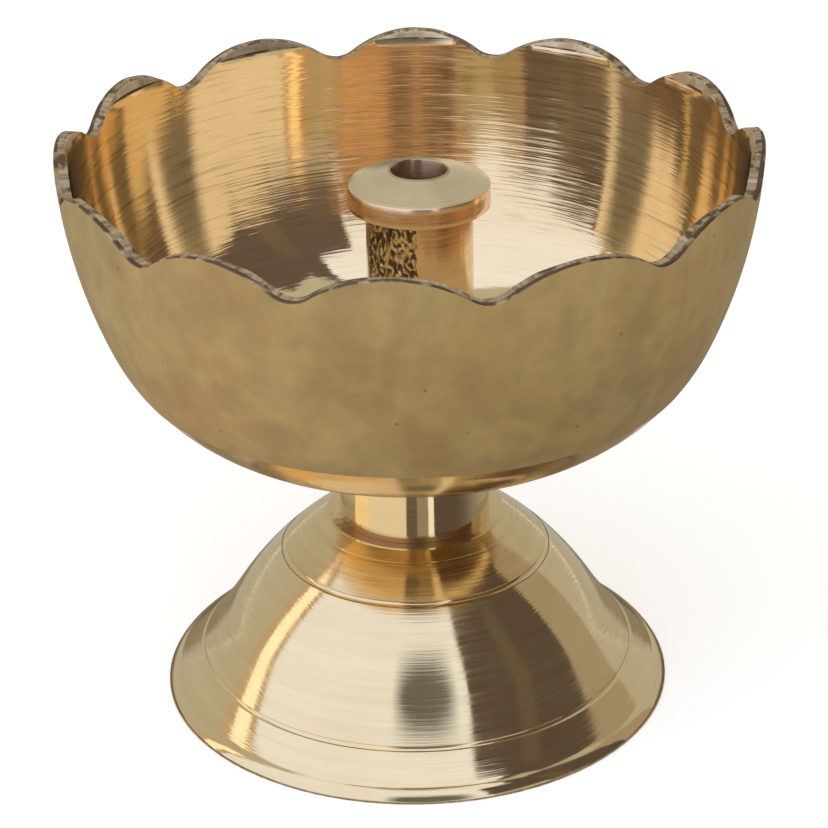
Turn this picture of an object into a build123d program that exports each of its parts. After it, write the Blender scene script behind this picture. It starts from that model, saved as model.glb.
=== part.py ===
"""A brass butter lamp: a scalloped bowl on a bell-shaped pedestal, with a loose wick holder."""
from build123d import *
from math import cos, radians, sin, sqrt, tan
import os

# All sizes are in millimetres and all angles in degrees.

# Pedestal: a hollow cast bell, turned on the outside
foot_radius = 28.95
lip_radius = 27.75
lip_height = 1.45
lip_slope = 62.0                # steepness of the rolled lip at the table, from level
flank_radius = 21.4             # where the flank stops hollowing and starts to swell
flank_height = 9.0
flank_slope = 58.3              # steepness of the flank there, from level
land_radius = 10.1              # flat land that the neck stands on
pedestal_height = 20.95
pedestal_wall = 1.8
plate_thickness = 2.5           # under the land, where the bolt clamps
groove_heights = (4.4, 16.85)   # two turned lines round the bell
groove_radius = 0.3

# Bowl: a thin cast cup with a solid neck, turned inside and underneath
bowl_radius = 38.0
bowl_height = 33.2              # from the underside to the tips of the scallops
bowl_wall = 1.5
side_curve = 57.3               # curve of the upper side, in section
belly_curve = 20.7              # tighter curve of the belly
rim_flare = 2.0                 # lean of the side at the rim, outwards
bevel_height = 1.75             # band inside the rim, turned back before the lobes were filed
bevel_depth = 0.4
neck_radius = 8.5
neck_height = 11.45
neck_fillet = 2.0

# Scalloped rim, filed by hand into even lobes
scallop_count = 12
scallop_depth = 3.05
valley_round = 3.7
first_valley = -77.1            # direction of one valley, from +X towards +Y
rim_stock = 2.0                 # metal above the tips before the lobes are cut
cutter_overlap = 0.6
cutter_reach = 4.0              # how far a cutter passes the wall on each side

# Wick holder: a loose turned bobbin with a drilled hole
holder_height = 28.3
holder_offset = 1.0             # it stands a little to one side of the bowl's axis
wick_bore_radius = 3.0
stem_radius = 5.65
flange_radius = 7.75
flange_thickness = 2.4
cone_rise = 1.55                # from the flange's edge up to the hole
base_radius = 8.6
base_thickness = 3.8
feed_width = 3.0                # slot in the base that lets the wick's tail out
feed_height = 2.4
cast_skin_middle = -127.0       # direction of the side that the turning left rough
cast_skin_spread = 70.0
cast_skin_depth = 0.45
cast_skin_margin = 0.5          # turned metal left above and below the rough side

# Bolt, washer and nut of a common 4 mm size
bolt_radius = 2.0
bolt_length = 20.0
bolt_head_radius = 3.5
bolt_head_height = 2.6
bolt_head_round = 0.8
slot_width = 1.2
slot_depth = 1.1
washer_radius = 4.5
washer_thickness = 0.8
nut_flats = 7.0
nut_height = 3.2

# Clearances
bolt_hole_clearance = 0.15
thread_clearance = 0.05
head_clearance = 0.4            # between the bolt's head and the holder's hollow base

# Heights that follow from the sizes above
underside_height = pedestal_height + neck_height
floor_height = underside_height + bowl_wall
tip_height = underside_height + bowl_height
plate_underside = pedestal_height - plate_thickness
washer_underside = plate_underside - washer_thickness
bolt_hole_radius = bolt_radius + bolt_hole_clearance


def turned(lines):
    """Revolve a closed section, drawn as radius and height, about the lamp's axis."""
    return revolve(Plane.XZ * make_face(lines), Axis.Z)


def upright_bore(radius, low, high):
    """A cylinder on the axis from one height to another."""
    return Pos(0, 0, low) * Cylinder(radius, high - low, align=(Align.CENTER, Align.CENTER, Align.MIN))


def ogee(wall):
    """The pedestal's flank, moved inwards by a wall: its two arcs and their outer ends."""
    slope = radians(flank_slope)
    upward = Vector(-cos(slope), sin(slope))
    turn = Vector(flank_radius, flank_height)
    lower = TangentArc(turn, Vector(lip_radius, lip_height), tangent=-upward)
    upper = TangentArc(turn, Vector(land_radius, pedestal_height), tangent=upward)
    lower_centre = lower.arc_center
    upper_centre = upper.arc_center

    def moved(point, centre, sign):
        outward = (point - centre).normalized() * sign
        return point - outward * wall

    inner_turn = moved(turn, upper_centre, 1)
    low_end = moved(lower @ 1, lower_centre, -1)
    high_end = moved(upper @ 1, upper_centre, 1)
    inner_lower = TangentArc(inner_turn, low_end, tangent=-upward)
    inner_upper = TangentArc(inner_turn, high_end, tangent=upward)
    return inner_lower, inner_upper, low_end, high_end


def radius_on(arc, height, side):
    """Radius at a height on an arc, on the chosen side of its centre."""
    centre = arc.arc_center
    return centre.X + side * sqrt(arc.radius ** 2 - (height - centre.Y) ** 2)


def make_pedestal():
    lower, upper, low_end, high_end = ogee(0)
    foot = Vector(foot_radius, 0)
    lean = radians(lip_slope)
    outside = turned([
        Line((0, 0), foot),
        TangentArc(foot, low_end, tangent=(-cos(lean), sin(lean))),
        lower,
        upper,
        Line(high_end, (0, pedestal_height)),
        Line((0, pedestal_height), (0, 0)),
    ])

    inner_lower, inner_upper, inner_low, inner_high = ogee(pedestal_wall)
    below = -pedestal_height
    hollow = turned([
        Line((0, below), (inner_low.X, below)),
        Line((inner_low.X, below), inner_low),
        inner_lower,
        inner_upper,
        Line(inner_high, (0, inner_high.Y)),
        Line((0, inner_high.Y), (0, below)),
    ])
    hollow &= upright_bore(2 * foot_radius, below, plate_underside)

    bell = outside - hollow - upright_bore(bolt_hole_radius, 0, pedestal_height)
    for height in groove_heights:
        on_lower_arc = height < flank_height
        groove_at = radius_on(lower, height, -1) if on_lower_arc else radius_on(upper, height, 1)
        bell -= Pos(0, 0, height) * Torus(groove_at, groove_radius)
    return bell


def bowl_section():
    """The cup and neck in section, with stock above the tips for cutting the lobes."""
    flare = radians(rim_flare)
    outward = Vector(cos(flare), -sin(flare))
    along_rim = Vector(sin(flare), cos(flare))
    rim = Vector(bowl_radius, tip_height)
    side_centre = rim - outward * side_curve
    centre_drop = side_centre.Y - (underside_height + belly_curve)
    between = side_curve - belly_curve
    belly_centre = Vector(side_centre.X + sqrt(between ** 2 - centre_drop ** 2), underside_height + belly_curve)
    joint_direction = (belly_centre - side_centre).normalized()
    down = Vector(0, -1)

    inner_curve = side_curve - bowl_wall
    bevel_drop = side_centre.Y - tip_height + bevel_height
    bevel_foot = side_centre + Vector(sqrt(inner_curve ** 2 - bevel_drop ** 2), -bevel_drop)
    bevel_outward = (bevel_foot - side_centre).normalized()
    bevel_downward = Vector(bevel_outward.Y, -bevel_outward.X)
    outer_rim, inner_rim = rim, rim - outward * (bowl_wall - bevel_depth)
    outer_joint = belly_centre + joint_direction * belly_curve
    inner_joint = belly_centre + joint_direction * (belly_curve - bowl_wall)
    outer_bottom = belly_centre + down * belly_curve
    inner_bottom = belly_centre + down * (belly_curve - bowl_wall)
    outer_top = outer_rim + along_rim * rim_stock
    inner_top = inner_rim + along_rim * rim_stock
    fillet_foot = Vector(neck_radius, underside_height - neck_fillet)
    fillet_end = Vector(neck_radius + neck_fillet, underside_height)
    upward_side = Vector(-joint_direction.Y, joint_direction.X)

    return [
        Line((0, pedestal_height), (neck_radius, pedestal_height)),
        Line((neck_radius, pedestal_height), fillet_foot),
        TangentArc(fillet_foot, fillet_end, tangent=(0, 1)),
        Line(fillet_end, outer_bottom),
        TangentArc(outer_bottom, outer_joint, tangent=(1, 0)),
        TangentArc(outer_joint, outer_rim, tangent=upward_side),
        Line(outer_rim, outer_top),
        Line(outer_top, inner_top),
        Line(inner_top, inner_rim),
        Line(inner_rim, bevel_foot),
        TangentArc(bevel_foot, inner_joint, tangent=bevel_downward),
        TangentArc(inner_joint, inner_bottom, tangent=-upward_side),
        Line(inner_bottom, (0, floor_height)),
        Line((0, floor_height), (0, pedestal_height)),
    ]


def valley_cutter():
    """What a file takes out between two neighbouring tips, tapering towards the lamp's axis."""
    half_lobe = bowl_radius * tan(radians(180 / scallop_count))
    lobe_and_valley = (half_lobe ** 2 + scallop_depth ** 2) / (2 * scallop_depth)
    lobe_round = lobe_and_valley - valley_round
    valley_centre = Vector(0, valley_round - scallop_depth)
    lobe_centre = Vector(half_lobe, -lobe_round)
    meet = valley_centre + (lobe_centre - valley_centre) * (valley_round / lobe_and_valley)
    bottom = Vector(0, -scallop_depth)
    edge = half_lobe + cutter_overlap
    top = 2 * rim_stock

    def mirrored(point):
        return Vector(-point.X, point.Y)

    tip = Vector(half_lobe, 0)
    section = make_face([
        Line((-edge, 0), mirrored(tip)),
        TangentArc(mirrored(tip), mirrored(meet), tangent=(1, 0)),
        ThreePointArc(mirrored(meet), bottom, meet),
        TangentArc(tip, meet, tangent=(-1, 0)),
        Line(tip, (edge, 0)),
        Line((edge, 0), (edge, top)),
        Line((edge, top), (-edge, top)),
        Line((-edge, top), (-edge, 0)),
    ])

    def section_at(radius):
        across = Plane(origin=(radius, 0, tip_height), x_dir=(0, 1, 0), z_dir=(1, 0, 0))
        return across * scale(section, radius / bowl_radius)

    inner = section_at(bowl_radius - bowl_wall - cutter_reach)
    outer = section_at(bowl_radius + cutter_reach)
    return loft([inner, outer], ruled=True)


def make_bowl():
    cup = turned(bowl_section())
    cutter = valley_cutter()
    step = 360 / scallop_count
    for valley in range(scallop_count):
        cup -= Rot(0, 0, first_valley + valley * step) * cutter
    return cup - upright_bore(bolt_hole_radius, pedestal_height, floor_height)


def cast_skin_cutter(low, high):
    """The sliver between the turned stem and the flatter casting skin on its rough side."""
    half_spread = radians(cast_skin_spread / 2)
    chord_rise = stem_radius * (1 - cos(half_spread))
    doubled = 2 * stem_radius * cast_skin_depth - cast_skin_depth ** 2
    skin_offset = doubled / (2 * (chord_rise - cast_skin_depth))
    skin_radius = stem_radius - cast_skin_depth + skin_offset
    reach = 2 * stem_radius
    half_width = stem_radius * sin(half_spread)
    block = Pos(reach / 2, 0, (low + high) / 2) * Box(reach, 2 * half_width, high - low)
    skin = Pos(-skin_offset, 0, 0) * upright_bore(skin_radius, low, high)
    return Rot(0, 0, cast_skin_middle) * (block - skin)


def make_wick_holder():
    head_room = bolt_head_radius + holder_offset + head_clearance
    base_hollow = bolt_head_height + head_clearance
    flange_top = holder_height - cone_rise
    flange_underside = flange_top - flange_thickness
    corners = [
        (head_room, 0),
        (base_radius, 0),
        (base_radius, base_thickness),
        (stem_radius, base_thickness),
        (stem_radius, flange_underside),
        (flange_radius, flange_underside),
        (flange_radius, flange_top),
        (wick_bore_radius, holder_height),
        (wick_bore_radius, base_hollow),
        (head_room, base_hollow),
    ]
    bobbin = turned(Polyline(corners, close=True).edges())
    skin_low = base_thickness + cast_skin_margin
    skin_high = flange_underside - cast_skin_margin
    bobbin -= cast_skin_cutter(skin_low, skin_high)
    feed = Pos(base_radius / 2 + wick_bore_radius / 2, 0, feed_height / 2) * Box(base_radius, feed_width, feed_height)
    bobbin -= Rot(0, 0, cast_skin_middle) * feed
    return Pos(holder_offset, 0, floor_height) * bobbin


def make_bolt():
    shank = upright_bore(bolt_radius, floor_height - bolt_length, floor_height)
    head = upright_bore(bolt_head_radius, floor_height, floor_height + bolt_head_height)
    head = fillet(head.edges().group_by(Axis.Z)[-1], bolt_head_round)
    slot = Pos(0, 0, floor_height + bolt_head_height) * Box(3 * bolt_head_radius, slot_width, 2 * slot_depth)
    return shank + head - slot


def make_washer():
    ring = upright_bore(washer_radius, washer_underside, plate_underside)
    return ring - upright_bore(bolt_hole_radius, washer_underside, plate_underside)


def make_nut():
    underside = washer_underside - nut_height
    hexagon = RegularPolygon(nut_flats / 2, 6, major_radius=False)
    body = extrude(Pos(0, 0, underside) * hexagon, nut_height)
    return body - upright_bore(bolt_radius + thread_clearance, underside, washer_underside)


pieces = {
    "bowl": make_bowl(),
    "pedestal": make_pedestal(),
    "wick_holder": make_wick_holder(),
    "clamp_bolt": make_bolt(),
    "washer": make_washer(),
    "nut": make_nut(),
}

os.makedirs("parts", exist_ok=True)
for name, shape in pieces.items():
    export_step(shape, f"parts/{name}.step")
    print(name, round(shape.volume, 1), "mm3")
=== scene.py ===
# %% [markdown]
# # A brass butter lamp
# The lamp is a thin cast bowl with a scalloped rim, a hollow bell-shaped pedestal under it, and a loose
# turned post in the middle that holds the wick. All three come off a lathe, so each is drawn here as half
# a section and spun about the lamp's axis. The bolt, washer and nut inside keep their own solids.

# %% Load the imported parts
import math
import bpy
from mathutils import Matrix, Vector, noise


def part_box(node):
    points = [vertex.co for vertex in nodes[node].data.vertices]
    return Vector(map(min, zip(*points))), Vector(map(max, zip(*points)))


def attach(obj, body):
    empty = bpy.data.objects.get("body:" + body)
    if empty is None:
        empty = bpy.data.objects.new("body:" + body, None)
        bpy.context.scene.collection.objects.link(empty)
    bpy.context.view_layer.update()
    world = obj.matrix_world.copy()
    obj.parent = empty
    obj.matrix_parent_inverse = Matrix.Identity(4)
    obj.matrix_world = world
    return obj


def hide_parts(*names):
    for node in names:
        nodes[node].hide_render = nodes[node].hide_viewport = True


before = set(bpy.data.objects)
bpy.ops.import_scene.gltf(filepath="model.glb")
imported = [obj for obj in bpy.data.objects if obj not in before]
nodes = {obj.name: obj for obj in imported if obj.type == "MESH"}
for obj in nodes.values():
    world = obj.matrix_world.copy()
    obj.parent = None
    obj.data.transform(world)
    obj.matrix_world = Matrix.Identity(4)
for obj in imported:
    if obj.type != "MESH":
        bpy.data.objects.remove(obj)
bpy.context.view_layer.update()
print("CAD nodes:", ", ".join(sorted(nodes)))

# %% [markdown]
# ## Sizes
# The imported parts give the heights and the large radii. The walls and curves are the ones that the parts
# were built with. Blender works in metres, and mm keeps the small sizes easy to read.

# %% Sizes of the bowl
mm = 0.001
bowl_low, bowl_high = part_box("bowl")
tip_height = bowl_high.z
neck_foot = bowl_low.z
bowl_radius = 38.0 * mm
bowl_wall = 1.5 * mm
side_curve = 57.3 * mm
belly_curve = 20.7 * mm
rim_flare = math.radians(2.0)
neck_radius = 8.5 * mm
neck_height = 11.45 * mm
neck_fillet = 2.0 * mm
bolt_hole_radius = 2.15 * mm
underside = neck_foot + neck_height
floor_height = underside + bowl_wall
print("bowl from", round(neck_foot / mm, 2), "to", round(tip_height / mm, 2), "mm")

# %% [markdown]
# ## Tools for turned pieces
# A turner thinks in half a section: a line of points, each with a radius and a height. The helper below
# starts from a small plane merged to one vertex, extrudes it from point to point, and spins the line once
# round. Blender has a Screw modifier for this too, but a spin in edit mode leaves a plain mesh at once.

# %% Drawing a section
def run(start, end, pieces):
    """Points after start, up to and with end, on a straight line."""
    steps = [step / pieces for step in range(1, pieces + 1)]
    return [(start[0] + s * (end[0] - start[0]), start[1] + s * (end[1] - start[1])) for s in steps]


def bend(centre, radius, start_angle, end_angle, pieces):
    """Points after the start of an arc, up to and with its end. Angles are from the radius axis."""
    angles = [start_angle + (end_angle - start_angle) * step / pieces for step in range(1, pieces + 1)]
    return [(centre[0] + radius * math.cos(a), centre[1] + radius * math.sin(a)) for a in angles]


# %% Spinning a section
def deselect_everything():
    if bpy.context.object and bpy.context.object.mode != "OBJECT":
        bpy.ops.object.mode_set(mode="OBJECT")
    bpy.ops.object.select_all(action="DESELECT")


def work_on(piece):
    deselect_everything()
    piece.select_set(True)
    bpy.context.view_layer.objects.active = piece


weld_distance = 0.002 * mm


def spin_section(name, section, turns):
    """Extrude one vertex along a closed section and spin it about the upright axis."""
    deselect_everything()
    bpy.ops.mesh.primitive_plane_add(size=1 * mm, location=(0, 0, 0))
    piece = bpy.context.object
    piece.name = name
    bpy.ops.object.mode_set(mode="EDIT")
    bpy.ops.mesh.select_all(action="SELECT")
    bpy.ops.mesh.merge(type="CENTER")
    bpy.ops.transform.translate(value=(section[0][0], 0, section[0][1]))
    for here, there in zip(section, section[1:] + section[:1]):
        step = (there[0] - here[0], 0, there[1] - here[1])
        bpy.ops.mesh.extrude_region_move(TRANSFORM_OT_translate={"value": step})
    bpy.ops.mesh.select_all(action="SELECT")
    bpy.ops.mesh.spin(steps=turns, angle=math.tau, center=(0, 0, 0), axis=(0, 0, 1))
    bpy.ops.mesh.select_all(action="SELECT")
    bpy.ops.mesh.remove_doubles(threshold=weld_distance)
    bpy.ops.mesh.normals_make_consistent(inside=False)
    bpy.ops.object.mode_set(mode="OBJECT")
    print(name, "has", len(piece.data.vertices), "points and", len(piece.data.polygons), "faces")
    return piece


def smooth_by_angle(piece, degrees):
    work_on(piece)
    bpy.ops.object.shade_smooth_by_angle(angle=math.radians(degrees))


# %% [markdown]
# ## The bowl
# The real bowl is cast about as thick as a coin, turned bright inside and underneath, and left satin on
# its outside. Its side is two arcs that run into each other. The section goes from the neck's foot up the
# outside, over the rim and down the inside to the hole for the bolt.

# %% Curves of the bowl
outward = (math.cos(rim_flare), -math.sin(rim_flare))
side_centre = (bowl_radius - side_curve * outward[0], tip_height - side_curve * outward[1])
belly_height = underside + belly_curve
centre_drop = side_centre[1] - belly_height
belly_reach = math.sqrt((side_curve - belly_curve) ** 2 - centre_drop ** 2)
belly_centre = (side_centre[0] + belly_reach, belly_height)
joint_angle = -math.asin(centre_drop / (side_curve - belly_curve))
straight_down = -math.pi / 2
polish_edge = -0.64             # where the polished underside begins, as an angle on the belly
polish_step = 0.08 * mm         # how much deeper the underside was turned
bevel_height = 1.0 * mm         # band inside the rim, turned back before the lobes were filed
bevel_depth = 0.40 * mm
edge_round = 0.12 * mm
neck_edge = 0.03 * mm
bevel_foot = tip_height - bevel_height


def side_radius(height, inset):
    """Radius of the bowl's upper side at a height, a given depth inside its outer face."""
    return side_centre[0] + math.sqrt((side_curve - inset) ** 2 - (height - side_centre[1]) ** 2)


def bevel_at(height):
    """How far the inner face is turned back at a height."""
    return bevel_depth * max(0.0, (height - bevel_foot) / bevel_height)


def side_run(inset, start_height, end_height, pieces):
    """Points after a height on the bowl's upper side, up to and with another."""
    heights = [start_height + (end_height - start_height) * step / pieces for step in range(1, pieces + 1)]
    return [(side_radius(height, inset), height) for height in heights]


print("the bowl's two arcs meet", round(-math.degrees(joint_angle), 1), "degrees below level")

# %% Section of the bowl
inner_belly = belly_curve - bowl_wall
outer_joint_height = belly_centre[1] + belly_curve * math.sin(joint_angle)
inner_joint_height = belly_centre[1] + inner_belly * math.sin(joint_angle)
fillet_centre = (neck_radius + neck_fillet, underside - neck_fillet)
step_angle = 0.004
outer_lip = (side_radius(tip_height, 0) - edge_round, tip_height)
inner_lip = (side_radius(tip_height, bowl_wall) + bevel_depth + edge_round, tip_height)

bowl_section = [(bolt_hole_radius, neck_foot)]
bowl_section += run(bowl_section[-1], (neck_radius - neck_edge, neck_foot), 2)
bowl_section += run(bowl_section[-1], (neck_radius, neck_foot + neck_edge), 1)
bowl_section += run(bowl_section[-1], (neck_radius, fillet_centre[1]), 4)
bowl_section += bend(fillet_centre, neck_fillet, math.pi, math.pi / 2, 6)
bowl_section += run(bowl_section[-1], (belly_centre[0], underside + polish_step), 2)
bowl_section += bend(belly_centre, belly_curve - polish_step, straight_down, polish_edge, 14)
bowl_section += bend(belly_centre, belly_curve, polish_edge, polish_edge + step_angle, 1)
bowl_section += bend(belly_centre, belly_curve, polish_edge + step_angle, joint_angle, 8)
bowl_section += side_run(0, outer_joint_height, tip_height - edge_round, 18)
bowl_section += run(bowl_section[-1], outer_lip, 1)
bowl_section += run(outer_lip, inner_lip, 3)
bowl_section += run(inner_lip, (inner_lip[0] - edge_round, tip_height - edge_round), 1)
bowl_section += run(bowl_section[-1], (side_radius(bevel_foot, bowl_wall), bevel_foot), 4)
bowl_section += side_run(bowl_wall, bevel_foot, inner_joint_height, 18)
bowl_section += bend(belly_centre, inner_belly, joint_angle, straight_down, 16)
bowl_section += run(bowl_section[-1], (bolt_hole_radius, floor_height), 5)
bowl_section += run(bowl_section[-1], bowl_section[0], 2)[:-1]
bowl = spin_section("bowl_brass", bowl_section, 720)

# %% [markdown]
# ## Finishes by place
# One casting carries eight finishes, so its faces get their material slots by where they are and which way
# they face. By hand, loops of faces would be selected and assigned. In code the same is done by height and
# radius, while the bowl is still a plain turned shape, because its rows are level then.

# %% Marking the bowl's finishes
rim_slot, inside_slot, outside_slot, polish_slot, bore_slot, burr_slot, bevel_slot, band_slot = range(8)
polish_top = belly_centre[1] + belly_curve * math.sin(polish_edge)
hair = 0.01 * mm
burr_width = 0.3 * mm
bevel_line = 0.2 * mm           # dark line along the bevel's foot
for face in bowl.data.polygons:
    middle = face.center
    radius = math.hypot(middle.x, middle.y)
    faces_axis = (face.normal.x * middle.x + face.normal.y * middle.y) < 0
    if middle.z > tip_height - edge_round - hair and radius > outer_lip[0] - burr_width:
        face.material_index = burr_slot
    elif middle.z > tip_height - edge_round - hair and radius > inner_lip[0] - edge_round:
        face.material_index = rim_slot
    elif middle.z > bevel_foot + bevel_line and faces_axis:
        face.material_index = bevel_slot
    elif middle.z > bevel_foot and faces_axis:
        face.material_index = burr_slot
    elif radius < bolt_hole_radius + hair:
        face.material_index = bore_slot
    elif middle.z > floor_height - hair and (faces_axis or face.normal.z > 0.5):
        face.material_index = inside_slot
    elif middle.z > polish_top:
        face.material_index = outside_slot
    elif radius > neck_radius + neck_fillet:
        face.material_index = band_slot
    else:
        face.material_index = polish_slot
print("finishes marked on", len(bowl.data.polygons), "faces of the bowl")

# %% [markdown]
# ## The scalloped rim
# The rim is filed by hand into twelve lobes with round valleys between them. No two are quite alike, so
# each valley has its own direction and some lobes stand a little higher. Every column of points under the
# rim slides down its own wall until its top meets the filed line. The wall keeps its curve and thickness,
# and the turned bevel inside is left only where the file didn't reach it, as a crescent at each tip.

# %% The filed line
scallop_depth = 3.05 * mm
valley_round = 3.7 * mm
# Valleys seen from above, in degrees from the front towards the right, and each lobe's extra height in mm.
valley_directions = (-45.9, -18.2, 12.0, 42.4, 73.6, 104.2, 133.2, 164.6, 193.0, 224.4, 252.8, 283.6)
lobe_extra = (0.0, 0.0, 0.0, 0.0, 0.2, 0.3, 0.0, 0.0, 0.25, 0.35, 0.2, 0.0)
half_lobe = bowl_radius * math.tan(math.pi / len(valley_directions))
lobe_and_valley = (half_lobe ** 2 + scallop_depth ** 2) / (2 * scallop_depth)
lobe_round = lobe_and_valley - valley_round
meeting_place = half_lobe * valley_round / lobe_and_valley


def direction_of(point):
    """Direction of a point seen from above, in degrees from the front towards the right."""
    return math.degrees(math.atan2(point.x, -point.y))


def lobe_profile(across):
    """Height above the valley at a distance from it, up to half a lobe."""
    if across < meeting_place:
        return valley_round - math.sqrt(valley_round ** 2 - across ** 2)
    return scallop_depth - lobe_round + math.sqrt(lobe_round ** 2 - (half_lobe - across) ** 2)


def filed_height(direction):
    """Height of the filed line in one direction."""
    first = valley_directions[0]
    turned_by = (direction - first) % 360
    starts = [valley - first for valley in valley_directions]
    for start, end, extra in zip(starts, starts[1:] + [360], lobe_extra):
        if start <= turned_by <= end:
            from_valley = min(turned_by - start, end - turned_by)
            across = half_lobe * from_valley / ((end - start) / 2)
            stretch = 1 + extra * mm / scallop_depth
            return tip_height - scallop_depth + stretch * lobe_profile(across)
    return tip_height


print("a lobe is about", round(2 * half_lobe / mm, 1), "mm wide")

# %% Filing the rim
slide_start = tip_height - 14 * mm
least_bevel = 0.06 * mm
file_waver = 0.06 * mm
waver_length = 2.2 * mm


def filed_place(radius, height, top):
    """New radius and height of a point of the rim's wall, in a column whose filed top is given."""
    inset = side_radius(height, 0) - radius
    if height > tip_height - hair:
        share = (outer_lip[0] - radius) / (outer_lip[0] - inner_lip[0])
        inner_inset = bowl_wall - bevel_at(top) - edge_round
        return side_radius(top, 0) - edge_round - share * (inner_inset - edge_round), top
    if inset < bowl_wall / 3:
        share = (height - slide_start) / (tip_height - edge_round - slide_start)
        new_height = slide_start + share * (top - edge_round - slide_start)
        return side_radius(new_height, 0), new_height
    bevel_low = top - max(top - bevel_foot, least_bevel)
    if height > bevel_foot - hair:
        new_height = top - (top - bevel_low) * (tip_height - height) / bevel_height
    else:
        share = (height - slide_start) / (bevel_foot - slide_start)
        new_height = slide_start + share * (bevel_low - slide_start)
    return side_radius(new_height, bowl_wall) + bevel_at(new_height), new_height


for point in bowl.data.vertices:
    place = point.co
    if place.z > slide_start:
        waver = file_waver * noise.noise(Vector((place.x, place.y, 0)) / waver_length)
        top = filed_height(direction_of(place)) + waver
        radius = math.hypot(place.x, place.y)
        new_radius, new_height = filed_place(radius, place.z, top)
        place.x *= new_radius / radius
        place.y *= new_radius / radius
        place.z = new_height
smooth_by_angle(bowl, 35)
print("rim filed into", len(valley_directions), "lobes")

# %% [markdown]
# ## The pedestal
# The foot is a hollow bell. Its flank is an ogee: it swells under the flat land that the neck stands on,
# hollows lower down, and rolls over into a lip. Two shallow grooves and one scribed line are turned into it.
# They could be bump in the material, but real grooves also show in the mesh, so the section has extra points
# beside them.

# %% Curves of the pedestal
pedestal_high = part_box("pedestal")[1]
foot_radius = pedestal_high.x
pedestal_top = pedestal_high.z
land_radius = 10.1 * mm
lip = (27.75 * mm, 1.45 * mm)
lip_slope = math.radians(68.0)
flank = (21.4 * mm, 9.0 * mm)
flank_slope = math.radians(58.3)
pedestal_wall = 1.8 * mm
plate_thickness = 2.5 * mm


def arc_through(start, heading, end):
    """Centre, radius, start angle and end angle of the arc that leaves start along heading and meets end."""
    to_end = (end[0] - start[0], end[1] - start[1])
    cross = heading[0] * to_end[1] - heading[1] * to_end[0]
    along = heading[0] * to_end[0] + heading[1] * to_end[1]
    half_turn = math.atan2(cross, along)
    radius = math.hypot(*to_end) / (2 * math.sin(half_turn))
    centre = (start[0] - radius * heading[1], start[1] + radius * heading[0])
    start_angle = math.atan2(start[1] - centre[1], start[0] - centre[0])
    return centre, abs(radius), start_angle, start_angle + 2 * half_turn


upward = (-math.cos(flank_slope), math.sin(flank_slope))
hollow_arc = arc_through(flank, (-upward[0], -upward[1]), lip)
swell_arc = arc_through(flank, upward, (land_radius, pedestal_top))


def flank_radius(height, inset):
    """Radius of the bell's flank at a height, a given depth inside its outer face."""
    if height < flank[1]:
        centre, radius = hollow_arc[:2]
        return centre[0] - math.sqrt((radius + inset) ** 2 - (height - centre[1]) ** 2)
    centre, radius = swell_arc[:2]
    return centre[0] + math.sqrt((radius - inset) ** 2 - (height - centre[1]) ** 2)


print("pedestal is", round(2 * foot_radius / mm, 1), "mm across and", round(pedestal_top / mm, 2), "mm high")

# %% Lines turned into the pedestal
# Each line has a height, half a width and a depth.
lower_groove = (4.4 * mm, 0.24 * mm, 0.13 * mm)
upper_groove = (16.85 * mm, 0.26 * mm, 0.15 * mm)
scribed_line = (19.95 * mm, 0.12 * mm, 0.008 * mm)
turned_lines = (lower_groove, upper_groove, scribed_line)
lower_heights = [point[1] for point in bend(*hollow_arc, 30)]
upper_heights = [point[1] for point in bend(*swell_arc, 44)]
line_heights = []
for height, half_width, _ in turned_lines:
    line_heights += [height + half_width * step / 4 for step in range(-5, 6)]
flank_heights = sorted(lower_heights + [flank[1]] + upper_heights + line_heights)


def turned_flank(height):
    """A point of the flank, pushed in where a line was turned."""
    radius = flank_radius(height, 0)
    for line_height, half_width, depth in turned_lines:
        share = abs(height - line_height) / half_width
        if share < 1:
            cut = depth * math.sqrt(1 - share * share)
            return (radius - cut * math.sin(flank_slope), height - cut * math.cos(flank_slope))
    return (radius, height)


print("the flank has points at", len(flank_heights), "heights")

# %% Section of the pedestal
base_edge = 0.05 * mm
base_upright = 0.2 * mm
base_width = 2.4 * mm           # flat ring that the lamp stands on
lowest_inside = 1 * mm
lip_arc = arc_through((foot_radius, base_upright), (-math.cos(lip_slope), math.sin(lip_slope)), lip)
plate_underside = pedestal_top - plate_thickness
inner_heights = sorted(lower_heights[::3] + upper_heights[::3], reverse=True)
inner_heights = [height for height in inner_heights if lowest_inside < height < plate_underside]
inner_top = (flank_radius(plate_underside, pedestal_wall), plate_underside)

pedestal_section = [(foot_radius - base_width, 0.0)]
pedestal_section += run(pedestal_section[-1], (foot_radius - base_edge, 0.0), 2)
pedestal_section += run(pedestal_section[-1], (foot_radius, base_edge), 1)
pedestal_section += run(pedestal_section[-1], (foot_radius, base_upright), 1)
pedestal_section += bend(*lip_arc, 8)
pedestal_section += [turned_flank(height) for height in flank_heights[1:-1]]
pedestal_section += [(land_radius, pedestal_top)]
pedestal_section += run(pedestal_section[-1], (bolt_hole_radius, pedestal_top), 4)
pedestal_section += run(pedestal_section[-1], (bolt_hole_radius, plate_underside), 2)
pedestal_section += run(pedestal_section[-1], inner_top, 4)
pedestal_section += [(flank_radius(height, pedestal_wall), height) for height in inner_heights]
pedestal = spin_section("pedestal_brass", pedestal_section, 480)
smooth_by_angle(pedestal, 30)

# %% Marking the pedestal's finishes
bell_slot, bell_inside_slot, land_slot, shoulder_slot = range(4)
for face in pedestal.data.polygons:
    middle = face.center
    faces_axis = (face.normal.x * middle.x + face.normal.y * middle.y) < 0
    if face.normal.z > 0.98 and middle.z > pedestal_top - hair:
        face.material_index = land_slot
    elif faces_axis or face.normal.z < -0.5 or middle.z < base_upright:
        face.material_index = bell_inside_slot
    elif middle.z > upper_groove[0]:
        face.material_index = shoulder_slot
    else:
        face.material_index = bell_slot
print("finishes marked on", len(pedestal.data.polygons), "faces of the pedestal")

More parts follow.
